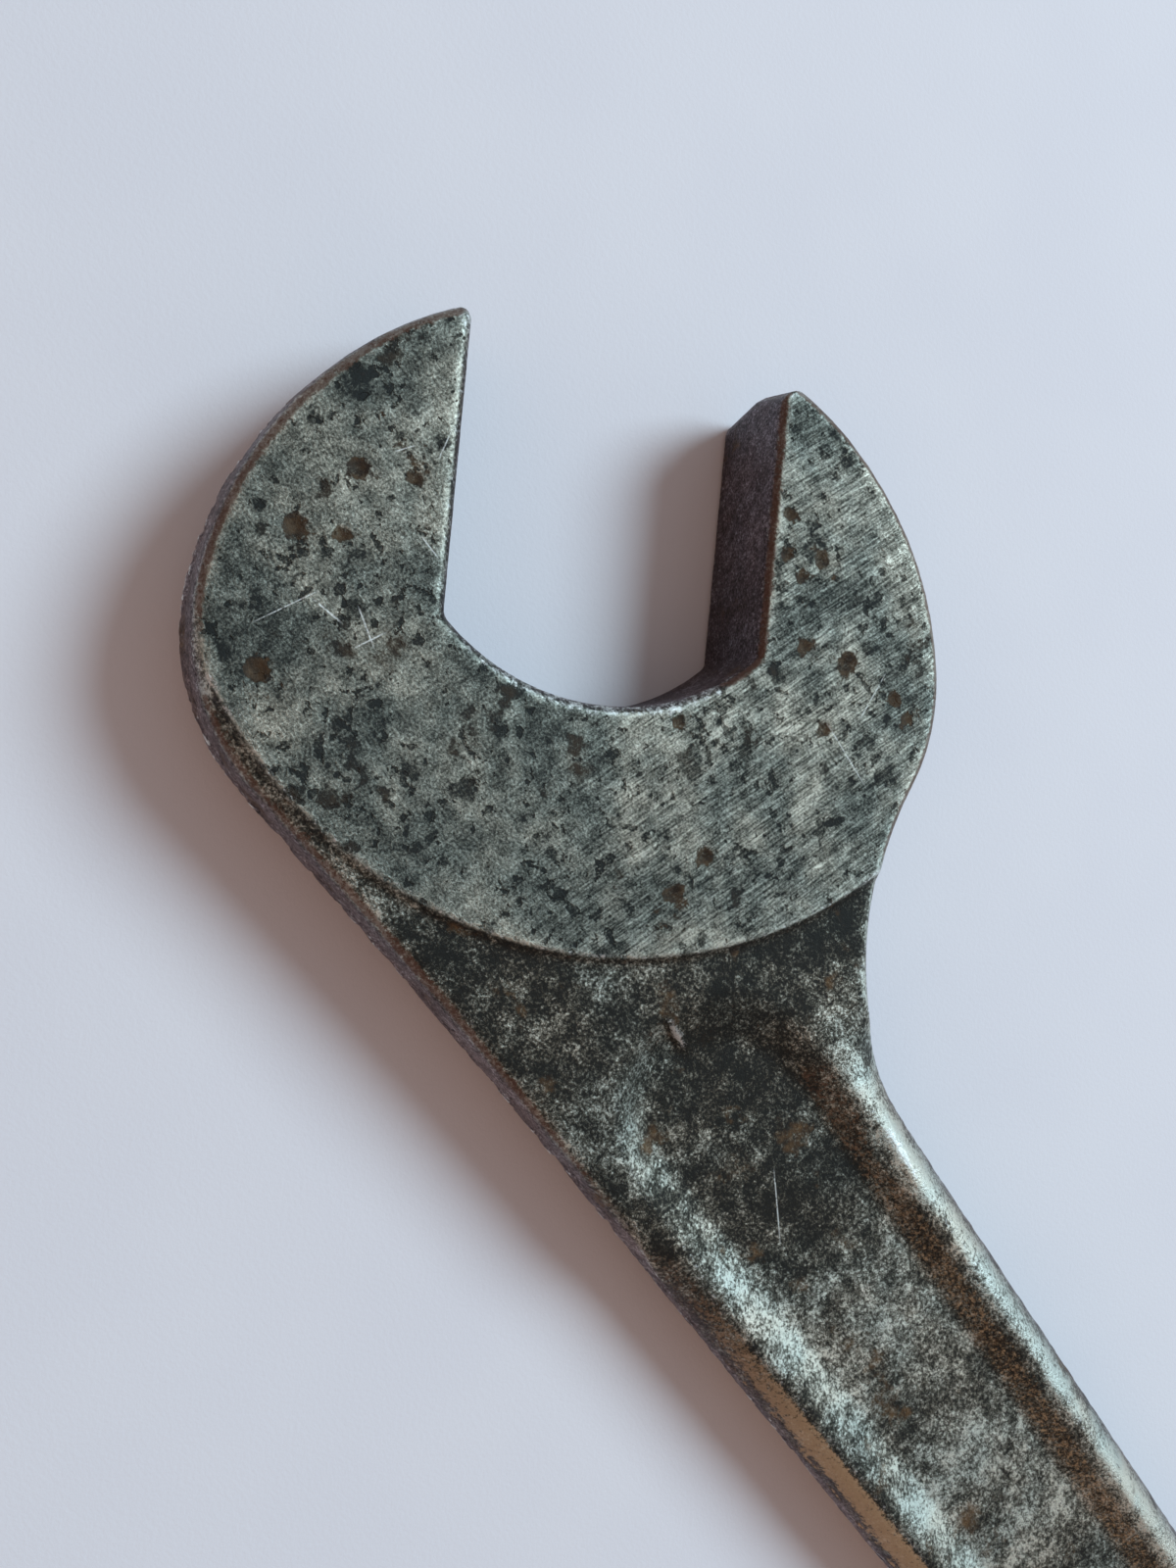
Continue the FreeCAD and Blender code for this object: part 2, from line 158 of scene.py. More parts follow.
def rampNode(tree, value, low, high):
    node = tree.nodes.new("ShaderNodeMapRange")
    node.interpolation_type = "SMOOTHSTEP"
    feed(tree, node, {"Value": value, "From Min": low, "From Max": high})
    return node.outputs["Result"]


def noiseNode(tree, vector, size, detail=3.0, roughness=0.55, distortion=0.0):
    # size is the width of one blotch in mm; the vector is in mm
    node = tree.nodes.new("ShaderNodeTexNoise")
    scale = mathNode(tree, "DIVIDE", 1.0, size) if isinstance(size, bpy.types.NodeSocket) else 1 / size
    feed(tree, node, {"Vector": vector, "Scale": scale, "Detail": detail,
                      "Roughness": roughness, "Distortion": distortion})
    return node.outputs[0]


def mixColour(tree, share, first, second, blend="MIX"):
    node = tree.nodes.new("ShaderNodeMix")
    node.data_type = "RGBA"
    node.blend_type = blend
    for socket, value in ((node.inputs[0], share), (node.inputs[6], first), (node.inputs[7], second)):
        if isinstance(value, bpy.types.NodeSocket):
            tree.links.new(value, socket)
        else:
            socket.default_value = value if not isinstance(value, tuple) else (*value, 1)
    return node.outputs[2]


def mixValue(tree, share, first, second):
    node = tree.nodes.new("ShaderNodeMix")
    for socket, value in ((node.inputs[0], share), (node.inputs[2], first), (node.inputs[3], second)):
        if isinstance(value, bpy.types.NodeSocket):
            tree.links.new(value, socket)
        else:
            socket.default_value = value
    return node.outputs[0]


# the forging's shape: lengths in mm, places along the handle from the head's centre
forging = {
    "voxel": 0.42,             # the mesh that the shaping works on
    "weld": 1e-6,              # metres
    "relaxFactor": 0.5,
    "relaxRounds": 2,
    "triangles": 190000,
    "waviness": 0.10,          # slow swell of the hammered skin
    "skinGrain": 0.045,        # coarse scale texture off the ground faces
    "shearMarks": 0.26,        # torn marks left where the flash was trimmed
    "halfThickness": 7,
    "faceCentre": (-3.4, 19.3),
    "faceRadius": 45.7,
    "faceStep": 0.7,
    "stepRun": 0.6,
    "stepClear": 2,            # the hollow starts this far outside the face
    "neckRun": 34.0,
    "neckFrom": -26,
    "rimHeight": 4.8,          # above the mid-plane
    "handleShift": 14.7,
    "dishDepth": 1.9,
    "dishHalf": 12.3,          # from the handle's middle to the crest of a rim
    "dishNose": (-43.0, 13.5),  # where the straight rims end, and how far the rounded end runs past it
    "dishTail": (-244.0, 9.0),
    "dishSlope": 4.7,
    "noseSlope": 3.0,          # added to the slope at the nose, on the inner side
    "noseSlopeRun": (-6, 8),
    "rimFall": 0.21,           # how fast a rim falls away outside its crest
    "rimFallRun": 16,
    "eyeFrom": -257.0,
    "eyeRun": 7,
    "tipRadius": {1: 1.2, -1: 2.2},  # outer arm, inner arm
    "flankDraft": 9.0,         # degrees
    "jawHalf": 16.0,
    "armCircle": (2.2, 36.8),        # the arms' outside: shift and radius
    "throatCentre": 20.7,
    "pitsAbove": 6.5,          # pits are only in the ground faces
    "pitDepth": 0.34,
    "pitFloor": 0.25,          # share of a pit's radius that is its floor
    "pits": [                  # across, along and radius in mm
        (20, 16, 0.9), (25, 16, 1.1), (26, 10, 0.9), (30, 10, 1.2), (32, -3, 1.2), (-18, 19, 0.8),
        (-22, 15, 1.0), (-18, 15, 0.8), (-20, 13, 0.8), (-21, 6, 0.9), (-26, 5, 1.3), (-32, 2, 0.9),
        (-34, 0, 0.8), (-24, -2, 0.8), (-8, -3, 0.8), (-9, -20, 1.2), (-12, -16, 1.0)],
}


# where each kind of surface starts and ends: mm, or the height of the surface's normal for a tilt
surface = {
    "faceHeight": (6.62, 6.9),
    "faceEdge": (46.0, 45.5),
    "faceTilt": (0.8, 0.95),
    "sideTilt": (0.35, 0.8),
    "sideRounds": 2,
    "jawHalf": 16.6,
    "jawFrom": -4.0,
    "jawReach": 38,
    "tornFrom": -8,            # the trimming tore the outer side far more than the inner
    "innerTorn": 0.3,
}


def copyNode(name):
    source = frame["nodes"][name]
    mesh = source.data.copy()
    piece = bpy.data.objects.new("wrench", mesh)
    scene.collection.objects.link(piece)
    piece.matrix_world = source.matrix_world
    return piece


def bakeModifiers(piece):
    bpy.context.view_layer.update()
    graph = bpy.context.evaluated_depsgraph_get()
    mesh = bpy.data.meshes.new_from_object(piece.evaluated_get(graph))
    piece.modifiers.clear()
    old = piece.data
    piece.data = mesh
    bpy.data.meshes.remove(old)


def readPoints(mesh):
    points = np.empty(len(mesh.vertices) * 3)
    mesh.vertices.foreach_get("co", points)
    return points.reshape(-1, 3)


def writePoints(mesh, points):
    mesh.vertices.foreach_set("co", points.ravel())
    mesh.update()


def readNormals(mesh):
    normals = np.empty(len(mesh.vertices) * 3)
    mesh.vertex_normals.foreach_get("vector", normals)
    return normals.reshape(-1, 3)


def edgeEnds(mesh):
    ends = np.empty(len(mesh.edges) * 2, dtype=np.int64)
    mesh.edges.foreach_get("vertices", ends)
    return ends.reshape(-1, 2)


def spread(values, ends, rounds):
    # averages each vertex with its neighbours
    first, second = ends[:, 0], ends[:, 1]
    count = np.bincount(first, minlength=len(values)) + np.bincount(second, minlength=len(values))
    for _ in range(rounds):
        total = np.bincount(first, values[second], len(values)) + \
            np.bincount(second, values[first], len(values))
        values = 0.5 * values + 0.5 * total / np.maximum(count, 1)
    return values


def bulge(points, normals, ends):
    # how far each vertex stands above the mean of its neighbours, in mm
    first, second = ends[:, 0], ends[:, 1]
    count = np.bincount(first, minlength=len(points)) + np.bincount(second, minlength=len(points))
    mean = np.empty_like(points)
    for axis in range(3):
        mean[:, axis] = (np.bincount(first, points[second, axis], len(points)) +
                         np.bincount(second, points[first, axis], len(points))) / np.maximum(count, 1)
    return np.einsum("ij,ij->i", points - mean, normals) / mm


def places(points):
    # mm: across and along in the head's axes, x and y in the handle's, w from the mid-plane
    flat = (points - headCentre) / mm
    return {
        "across": flat @ across,
        "along": flat @ jaw,
        "x": flat[:, 0],
        "y": flat[:, 1] - forging["handleShift"],
        "w": flat[:, 2],
    }


def unplace(spot):
    return headCentre + mm * np.column_stack((spot["x"], spot["y"] + forging["handleShift"], spot["w"]))


def fromFaceCentre(spot):
    centreAcross, centreAlong = forging["faceCentre"]
    return np.hypot(spot["across"] - centreAcross, spot["along"] - centreAlong)


def crestLine(x):
    # mm from the handle's middle to the crest of a rim; the rims close in slowly
    noseX = forging["dishNose"][0]
    tailX, tailHalf = forging["dishTail"]
    run = np.clip((x - noseX) / (tailX - noseX), 0, 1)
    return forging["dishHalf"] + (tailHalf - forging["dishHalf"]) * run


def insideDish(x, y):
    # mm inside the hollow's outline: straight rims, rounded at both ends
    noseX, noseRun = forging["dishNose"]
    tailX, tailHalf = forging["dishTail"]
    half = crestLine(x)
    nose = (1 - np.hypot((x - noseX) / noseRun, y / half)) * noseRun
    inside = np.where(x > noseX, nose, half - np.abs(y))
    return np.where(x < tailX, tailHalf - np.hypot(x - tailX, y), inside)


def shapeDish(spot):
    # a flat-bottomed hollow between two rims that fall away to the flanks
    x, y, w = spot["x"], spot["y"], spot["w"]
    noseX = forging["dishNose"][0]
    reach = fromFaceCentre(spot)
    neck = (reach - forging["faceRadius"] - forging["stepRun"]) / forging["neckRun"]
    stepTop = forging["halfThickness"] - forging["faceStep"]
    top = stepTop - (stepTop - forging["rimHeight"]) * np.clip(neck, 0, 1)
    slopeFrom, slopeTo = (noseX + run for run in forging["noseSlopeRun"])
    slope = forging["dishSlope"] + forging["noseSlope"] * smoothStep(slopeFrom, slopeTo, x) * (y < 0)
    top = top - forging["dishDepth"] * smoothStep(0, slope, insideDish(x, y))
    outside = np.maximum(np.abs(y) - crestLine(x), 0)
    top = top - forging["rimFall"] * outside ** 2 * smoothStep(noseX, noseX - forging["rimFallRun"], x)
    offFace = reach > forging["faceRadius"] + forging["stepClear"]
    lower = (np.abs(w) > top) & offFace & (x < forging["neckFrom"])
    # the eye keeps its full thickness
    share = smoothStep(forging["eyeFrom"], forging["eyeFrom"] + forging["eyeRun"], x)
    spot["w"] = np.where(lower, share * np.sign(w) * top + (1 - share) * w, w)


def roundTips(spot):
    # each tip is rounded where its jaw flat meets the arm's outside
    sideShift, sideRadius = forging["armCircle"]
    drafted = sideRadius - np.abs(spot["w"]) * math.tan(math.radians(forging["flankDraft"]))
    for arm, radius in forging["tipRadius"].items():
        middleAcross = forging["jawHalf"] + radius
        middleAlong = np.sqrt((drafted - radius) ** 2 - (middleAcross - sideShift) ** 2)
        toArm, toTip = arm * spot["across"] - middleAcross, spot["along"] - middleAlong
        off = np.hypot(toArm, toTip)
        slant = np.arctan2(middleAlong, middleAcross - sideShift)
        turn = np.arctan2(toTip, toArm)
        past = (turn > slant) & (turn < math.pi) & (off > radius) & (off < 4 * radius)
        share = np.where(past, radius / np.maximum(off, 1e-6), 1.0)
        spot["across"] = np.where(past, arm * (middleAcross + toArm * share), spot["across"])
        spot["along"] = np.where(past, middleAlong + toTip * share, spot["along"])
    flat = np.outer(spot["across"], across) + np.outer(spot["along"], jaw)
    spot["x"], spot["y"] = flat[:, 0], flat[:, 1] - forging["handleShift"]


def shapePits(spot):
    upper = np.abs(spot["w"]) > forging["pitsAbove"]
    for pitAcross, pitAlong, radius in forging["pits"]:
        off = np.hypot(spot["across"] - pitAcross, spot["along"] - pitAlong)
        sink = forging["pitDepth"] * smoothStep(radius, forging["pitFloor"] * radius, off) * upper
        spot["w"] = spot["w"] - np.sign(spot["w"]) * sink


# what the steel's finish reads from each vertex
markNames = ("ground", "side", "jawWall", "wear", "rubAndHighlight", "edge", "edgeRustAndReflection", "pit", "wheel")


def store(mesh, name, values):
    layer = mesh.attributes.get(name) or mesh.attributes.new(name, "FLOAT", "POINT")
    layer.data.foreach_set("value", np.asarray(values, dtype=np.float32))


def load(mesh, name):
    values = np.empty(len(mesh.vertices), dtype=np.float32)
    mesh.attributes[name].data.foreach_get("value", values)
    return values


wrench = copyNode("wrench_forging")
merge = wrench.modifiers.new("merge", "WELD")
merge.merge_threshold = forging["weld"]
remesh = wrench.modifiers.new("remesh", "REMESH")
remesh.mode = "VOXEL"
remesh.voxel_size = forging["voxel"] * mm
relax = wrench.modifiers.new("relax", "SMOOTH")
relax.factor = forging["relaxFactor"]
relax.iterations = forging["relaxRounds"]
bakeModifiers(wrench)
print("remeshed:", len(wrench.data.polygons), "faces")

mesh = wrench.data
ends = edgeEnds(mesh)
spot = places(readPoints(mesh))
fromFace = fromFaceCentre(spot)
roundTips(spot)
shapeDish(spot)
beforePits = np.abs(spot["w"])
shapePits(spot)
writePoints(mesh, unplace(spot))
tilt = np.abs(readNormals(mesh)[:, 2])
onFace = smoothStep(*surface["faceHeight"], beforePits) * smoothStep(*surface["faceEdge"], fromFace)
onFace *= smoothStep(*surface["faceTilt"], tilt)
steep = 1 - smoothStep(*surface["sideTilt"], tilt)
inJaw = (np.abs(spot["across"]) < surface["jawHalf"]) * (spot["along"] > surface["jawFrom"]) * steep
inJaw = inJaw * (np.hypot(spot["across"], spot["along"]) < surface["jawReach"])
onSide = spread(steep * (1 - inJaw), ends, surface["sideRounds"])
store(mesh, "ground", onFace)
store(mesh, "side", onSide)
store(mesh, "torn", onSide * np.where(spot["y"] > surface["tornFrom"], 1, surface["innerTorn"]))
store(mesh, "jawWall", spread(inJaw.astype(float), ends, 1))
print("forging shaped")


def forgingSkin():
    tree, start, end = newGroup("forging skin", [
        ("Geometry", "NodeSocketGeometry", None),
        ("Waviness", "NodeSocketFloat", 0.1),
        ("Skin Grain", "NodeSocketFloat", 0.04),
        ("Shear Marks", "NodeSocketFloat", 0.2),
        ("Mid Height", "NodeSocketFloat", 7.0),
        ("Steel", "NodeSocketMaterial", None),
    ], [("Geometry", "NodeSocketGeometry")], "GeometryNodeTree")
    tree.is_modifier = True

    def named(label):
        node = tree.nodes.new("GeometryNodeInputNamedAttribute")
        node.data_type = "FLOAT"
        node.inputs["Name"].default_value = label
        return node.outputs["Attribute"]

    def turned(vector, angles, scale):
        turn = tree.nodes.new("ShaderNodeVectorRotate")
        turn.rotation_type = "EULER_XYZ"
        feed(tree, turn, {"Vector": vector, "Rotation": angles})
        stretch = tree.nodes.new("ShaderNodeVectorMath")
        stretch.operation = "MULTIPLY"
        tree.links.new(turn.outputs[0], stretch.inputs[0])
        stretch.inputs[1].default_value = scale
        return stretch.outputs[0]

    inMm = tree.nodes.new("ShaderNodeVectorMath")
    inMm.operation = "SCALE"
    tree.links.new(tree.nodes.new("GeometryNodeInputPosition").outputs[0], inMm.inputs[0])
    inMm.inputs["Scale"].default_value = 1 / mm
    spotMm = inMm.outputs[0]
    off = mathNode(tree, "SUBTRACT", 1.0, named("ground"))
    rough = mathNode(tree, "MULTIPLY", off, mathNode(tree, "SUBTRACT", 1.0, named("jawWall")))
    swell = mathNode(tree, "SUBTRACT", noiseNode(tree, spotMm, 14.0, 2.0), 0.5)
    swell = mathNode(tree, "MULTIPLY", swell, start.outputs["Waviness"])
    grain = mathNode(tree, "SUBTRACT", noiseNode(tree, spotMm, 2.4, 4.0, 0.65), 0.5)
    grain = mathNode(tree, "MULTIPLY", mathNode(tree, "MULTIPLY", grain, rough), start.outputs["Skin Grain"])
    # oblique tears in a band round the middle of the sides
    apart = tree.nodes.new("ShaderNodeSeparateXYZ")
    tree.links.new(spotMm, apart.inputs[0])
    height = mathNode(tree, "SUBTRACT", apart.outputs["Z"], start.outputs["Mid Height"])
    band = rampNode(tree, mathNode(tree, "ABSOLUTE", height), 3.6, 2.2)
    tears = noiseNode(tree, turned(spotMm, (0.0, 0.6, 0.5), (0.55, 0.55, 0.22)), 1.0, 2.0, 0.6, 0.6)
    tears = rampNode(tree, tears, 0.42, 0.62)
    tears = mathNode(tree, "MULTIPLY", mathNode(tree, "MULTIPLY", tears, band), named("torn"))
    tears = mathNode(tree, "MULTIPLY", tears, start.outputs["Shear Marks"])
    lift = mathNode(tree, "SUBTRACT", mathNode(tree, "ADD", swell, grain), tears)
    lift = mathNode(tree, "MULTIPLY", lift, mm)
    push = tree.nodes.new("ShaderNodeVectorMath")
    push.operation = "SCALE"
    tree.links.new(tree.nodes.new("GeometryNodeInputNormal").outputs[0], push.inputs[0])
    tree.links.new(lift, push.inputs["Scale"])
    move = tree.nodes.new("GeometryNodeSetPosition")
    tree.links.new(start.outputs["Geometry"], move.inputs["Geometry"])
    tree.links.new(push.outputs[0], move.inputs["Offset"])
    realize = tree.nodes.new("GeometryNodeRealizeInstances")
    tree.links.new(move.outputs[0], realize.inputs[0])
    paint = tree.nodes.new("GeometryNodeSetMaterial")
    tree.links.new(realize.outputs[0], paint.inputs["Geometry"])
    tree.links.new(start.outputs["Steel"], paint.inputs["Material"])
    tree.links.new(paint.outputs[0], end.inputs[0])
    return tree


def useTree(piece, tree, values):
    modifier = piece.modifiers.new(tree.name, "NODES")
    modifier.node_group = tree
    for item in tree.interface.items_tree:
        if item.item_type == "SOCKET" and item.in_out == "INPUT" and item.name in values:
            modifier[item.identifier] = values[item.name]


def mmVector(tree):
    coords = tree.nodes.new("ShaderNodeTexCoord")
    scale = tree.nodes.new("ShaderNodeMapping")
    scale.inputs["Scale"].default_value = (1 / mm, 1 / mm, 1 / mm)
    tree.links.new(coords.outputs["Object"], scale.inputs["Vector"])
    return scale.outputs[0]


def scaleSpeckle():
    # dark oxide in a bright metal grain, gathered into blotches and wide clouds; 0 is bare and 1 is dark
    tree, start, end = newGroup("oxide speckle", [
        ("Vector", "NodeSocketVector", None),
        ("Cloud Size", "NodeSocketFloat", 9.0),
        ("Blotch Size", "NodeSocketFloat", 1.8),
        ("Grain Size", "NodeSocketFloat", 0.4),
        ("Cloud", "NodeSocketFloat", 1.0),
        ("Blotch", "NodeSocketFloat", 1.0),
        ("Grain", "NodeSocketFloat", 2.4),
        ("Amount", "NodeSocketFloat", 0.5),
    ], [("Mask", "NodeSocketFloat")])
    vector = start.outputs["Vector"]
    total = start.outputs["Amount"]
    for layer, detail, roughness in (("Cloud", 3.0, 0.6), ("Blotch", 3.0, 0.55), ("Grain", 3.0, 0.8)):
        noise = noiseNode(tree, vector, start.outputs[layer + " Size"], detail, roughness)
        total = mathNode(tree, "MULTIPLY_ADD", mathNode(tree, "SUBTRACT", noise, 0.5),
                         start.outputs[layer], total)
    tree.links.new(mathNode(tree, "MAXIMUM", mathNode(tree, "MINIMUM", total, 1.0), 0.0), end.inputs["Mask"])
    return tree


def pitting():
    # small ragged dark specks, crowded in some places and sparse in others
    tree, start, end = newGroup("pitting", [
        ("Vector", "NodeSocketVector", None),
        ("Size", "NodeSocketFloat", 1.2),
        ("Share", "NodeSocketFloat", 0.5),
    ], [("Mask", "NodeSocketFloat")])
    vector = start.outputs["Vector"]
    crowd = mathNode(tree, "SUBTRACT", noiseNode(tree, vector, 7.0, 2.0, 0.5), 0.5)
    fine = noiseNode(tree, vector, start.outputs["Size"], 3.0, 0.55)
    speck = mathNode(tree, "MULTIPLY_ADD", crowd, 0.35, fine)
    level = mathNode(tree, "MULTIPLY_ADD", start.outputs["Share"], -0.16, 0.68)
    tree.links.new(rampNode(tree, speck, level, mathNode(tree, "ADD", level, 0.045)), end.inputs["Mask"])
    return tree


def grindGrain():
    # fine parallel scratches left by the grinding wheel
    tree, start, end = newGroup("grinding grain", [
        ("Vector", "NodeSocketVector", None),
        ("Angle", "NodeSocketFloat", 0.0),
        ("Width", "NodeSocketFloat", 0.25),
    ], [("Height", "NodeSocketFloat")])
    turn = tree.nodes.new("ShaderNodeVectorRotate")
    turn.rotation_type = "Z_AXIS"
    tree.links.new(start.outputs["Vector"], turn.inputs["Vector"])
    tree.links.new(start.outputs["Angle"], turn.inputs["Angle"])
    stretch = tree.nodes.new("ShaderNodeMapping")
    stretch.inputs["Scale"].default_value = (0.07, 1.0, 1.0)
    tree.links.new(turn.outputs[0], stretch.inputs["Vector"])
    lines = noiseNode(tree, stretch.outputs[0], start.outputs["Width"], 4.0, 0.7)
    tree.links.new(lines, end.inputs["Height"])
    return tree


def rustBloom():
    tree, start, end = newGroup("rust bloom", [
        ("Vector", "NodeSocketVector", None),
        ("Size", "NodeSocketFloat", 6.0),
        ("Amount", "NodeSocketFloat", 0.4),
    ], [("Mask", "NodeSocketFloat"), ("Colour", "NodeSocketColor")])
    vector = start.outputs["Vector"]
    wide = noiseNode(tree, vector, start.outputs["Size"], 5.0, 0.65)
    level = mathNode(tree, "SUBTRACT", 0.72, mathNode(tree, "MULTIPLY", start.outputs["Amount"], 0.3))
    mask = rampNode(tree, wide, level, mathNode(tree, "ADD", level, 0.12))
    tone = rampNode(tree, noiseNode(tree, vector, 1.3, 3.0, 0.7), 0.3, 0.7)
    tree.links.new(mask, end.inputs["Mask"])
    tree.links.new(mixColour(tree, tone, (0.045, 0.026, 0.014), (0.165, 0.095, 0.042)), end.inputs["Colour"])
    return tree


groups = {"speckle": scaleSpeckle(), "pitting": pitting(), "grain": grindGrain(), "rust": rustBloom()}


def useGroup(tree, name, values):
    node = tree.nodes.new("ShaderNodeGroup")
    node.node_tree = groups[name]
    return feed(tree, node, values)


def attribute(tree, name):
    node = tree.nodes.new("ShaderNodeAttribute")
    node.attribute_name = name
    return node.outputs["Fac"]


def colourRamp(tree, value, stops):
    node = tree.nodes.new("ShaderNodeValToRGB")
    ramp = node.color_ramp
    while len(ramp.elements) < len(stops):
        ramp.elements.new(0.5)
    for element, (place, colour) in zip(ramp.elements, stops):
        element.position = place
        element.color = (*colour, 1)
    tree.links.new(value, node.inputs[0])
    return node.outputs[0]


def roomLight():
    # the room is cool towards the window and warm behind the wrench
    tree = world.node_tree
    way = tree.nodes.new("ShaderNodeTexCoord").outputs["Generated"]
    apart = tree.nodes.new("ShaderNodeSeparateXYZ")
    tree.links.new(way, apart.inputs[0])
    share = rampNode(tree, apart.outputs["Y"], -0.7, 0.7)
    tree.links.new(mixColour(tree, share, light["roomCool"], light["roomWarm"]),
                   tree.nodes["Background"].inputs["Color"])


roomLight()
print("camera and light placed")


def times(tree, *values):
    total = values[0]
    for value in values[1:]:
        total = mathNode(tree, "MULTIPLY", total, value)
    return total


# the steel's finish: sizes in mm
steelLook = {
    "tanFrom": headCentre[0] / mm - 40,      # the edge line turns from rust on the head to a painted warm reflection in tan along the handle
    "tanRun": 45,
    "faceStops": [(0.0, (0.60, 0.63, 0.585)), (0.3, (0.33, 0.35, 0.32)), (0.55, (0.165, 0.177, 0.16)),
                  (0.8, (0.058, 0.063, 0.057)), (1.0, (0.018, 0.021, 0.021))],
    "skinStops": [(0.0, (0.62, 0.64, 0.60)), (0.3, (0.27, 0.275, 0.25)), (0.6, (0.085, 0.083, 0.070)),
                  (0.85, (0.030, 0.030, 0.026)), (1.0, (0.014, 0.015, 0.014))],
    "sideStops": [(0.0, (0.48, 0.45, 0.50)), (0.4, (0.19, 0.15, 0.165)), (1.0, (0.026, 0.017, 0.020))],
    # painted shade: the jaw walls take a darker copy of the flanks' scale, for the mouth between the arms
    "wallShadeStops": [(0.0, (0.34, 0.30, 0.36)), (0.45, (0.105, 0.082, 0.096)), (1.0, (0.020, 0.013, 0.014))],
    "edgeRust": (0.115, 0.055, 0.036),
    # painted warm reflection: tan on the handle's slopes that face away from the window
    "warmReflectionTan": (0.58, 0.42, 0.25),
    "rubbed": (0.86, 0.90, 0.88),
    "scratchShare": 0.6,
    "faceSpeckle": {"Cloud Size": 9.0, "Blotch Size": 1.5, "Grain Size": 0.28,
                    "Cloud": 1.2, "Blotch": 0.9, "Grain": 2.1},
    "skinSpeckle": {"Cloud Size": 11.0, "Blotch Size": 1.8, "Grain Size": 0.36,
                    "Cloud": 1.4, "Blotch": 1.5, "Grain": 3.2},
    "sideSpeckle": {"Cloud Size": 6.0, "Blotch Size": 1.2, "Grain Size": 0.30,
                    "Cloud": 0.8, "Blotch": 1.0, "Grain": 2.6, "Amount": 0.60},
    "faceDark": 0.60,          # how dark each kind of skin is before it is rubbed
    "skinDark": 0.84,
    "grind": {"Angle": math.radians(95), "Width": 0.22},
    "grindStrength": -1.9,
    "specks": {"Size": 1.1, "Share": 0.46},
    "patches": {"Size": 3.0, "Share": 0.42},
    "rust": {"Size": 6.0, "Amount": 0.44},
    "metallic": (0.95, 0.50),  # bare steel, then dull
    "roughness": (0.42, 0.58),
    "warmDrift": (1.05, 0.99, 0.90),
    "coolDrift": (0.94, 1.0, 0.97),
}


# single bright scratches: ends as (across, along) in mm on the head, and their width
scratches = [
    ((28, 4), (25, 2), 0.12), ((24, 4), (22, 0), 0.10), ((24, 0), (21, 2), 0.10), ((33, 1), (27, 5), 0.08),
    ((19, 11), (17, 9), 0.08), ((18, 18), (17, 21), 0.08), ((22, 18), (20, 19), 0.07),
    ((-28, -1), (-31, 5), 0.09), ((-25, -48), (-27, -57), 0.10), ((-24, -1), (-30, -8), 0.08),
]


def scratchLine():
    # one straight scratch between two points, faded at its ends
    tree, start, end = newGroup("scratch", [
        ("Vector", "NodeSocketVector", None),
        ("Start", "NodeSocketVector", None),
        ("Along", "NodeSocketVector", None),
        ("Length", "NodeSocketFloat", 3.0),
        ("Width", "NodeSocketFloat", 0.1),
    ], [("Mask", "NodeSocketFloat")])

    def vectorMath(operation, first, second):
        node = tree.nodes.new("ShaderNodeVectorMath")
        node.operation = operation
        tree.links.new(first, node.inputs[0])
        tree.links.new(second, node.inputs[1])
        return node.outputs["Value"] if operation == "DOT_PRODUCT" else node.outputs[0]

    way = start.outputs["Along"]
    off = vectorMath("MULTIPLY", vectorMath("SUBTRACT", start.outputs["Vector"], start.outputs["Start"]),
                     flatten(tree))
    run = vectorMath("DOT_PRODUCT", off, way)
    apart = mathNode(tree, "SQRT", mathNode(tree, "MAXIMUM", 0.0, mathNode(
        tree, "SUBTRACT", vectorMath("DOT_PRODUCT", off, off), mathNode(tree, "MULTIPLY", run, run))))
    thin = rampNode(tree, mathNode(tree, "DIVIDE", apart, start.outputs["Width"]), 1.0, 0.4)
    share = mathNode(tree, "DIVIDE", run, start.outputs["Length"])
    fade = times(tree, rampNode(tree, share, 0.0, 0.2), rampNode(tree, share, 1.0, 0.7))
    broken = rampNode(tree, noiseNode(tree, start.outputs["Vector"], 0.6, 3.0, 0.7), 0.35, 0.5)
    tree.links.new(times(tree, thin, fade, broken), end.inputs["Mask"])
    return tree


def flatten(tree):
    node = tree.nodes.new("ShaderNodeCombineXYZ")
    node.inputs["X"].default_value = node.inputs["Y"].default_value = 1.0
    return node.outputs[0]


def addScratches(tree, vector, colour):
    total = None
    for first, second, width in scratches:
        begin, finish = (headCentre / mm + place[0] * across + place[1] * jaw for place in (first, second))
        span = finish - begin
        length = float(np.hypot(span[0], span[1]))
        line = useGroup(tree, "scratch", {
            "Vector": vector, "Start": tuple(begin), "Along": tuple(span / length),
            "Length": length, "Width": width}).outputs["Mask"]
        total = line if total is None else mathNode(tree, "MAXIMUM", total, line)
    return mixColour(tree, times(tree, total, steelLook["scratchShare"]), colour, steelLook["rubbed"])


groups["scratch"] = scratchLine()


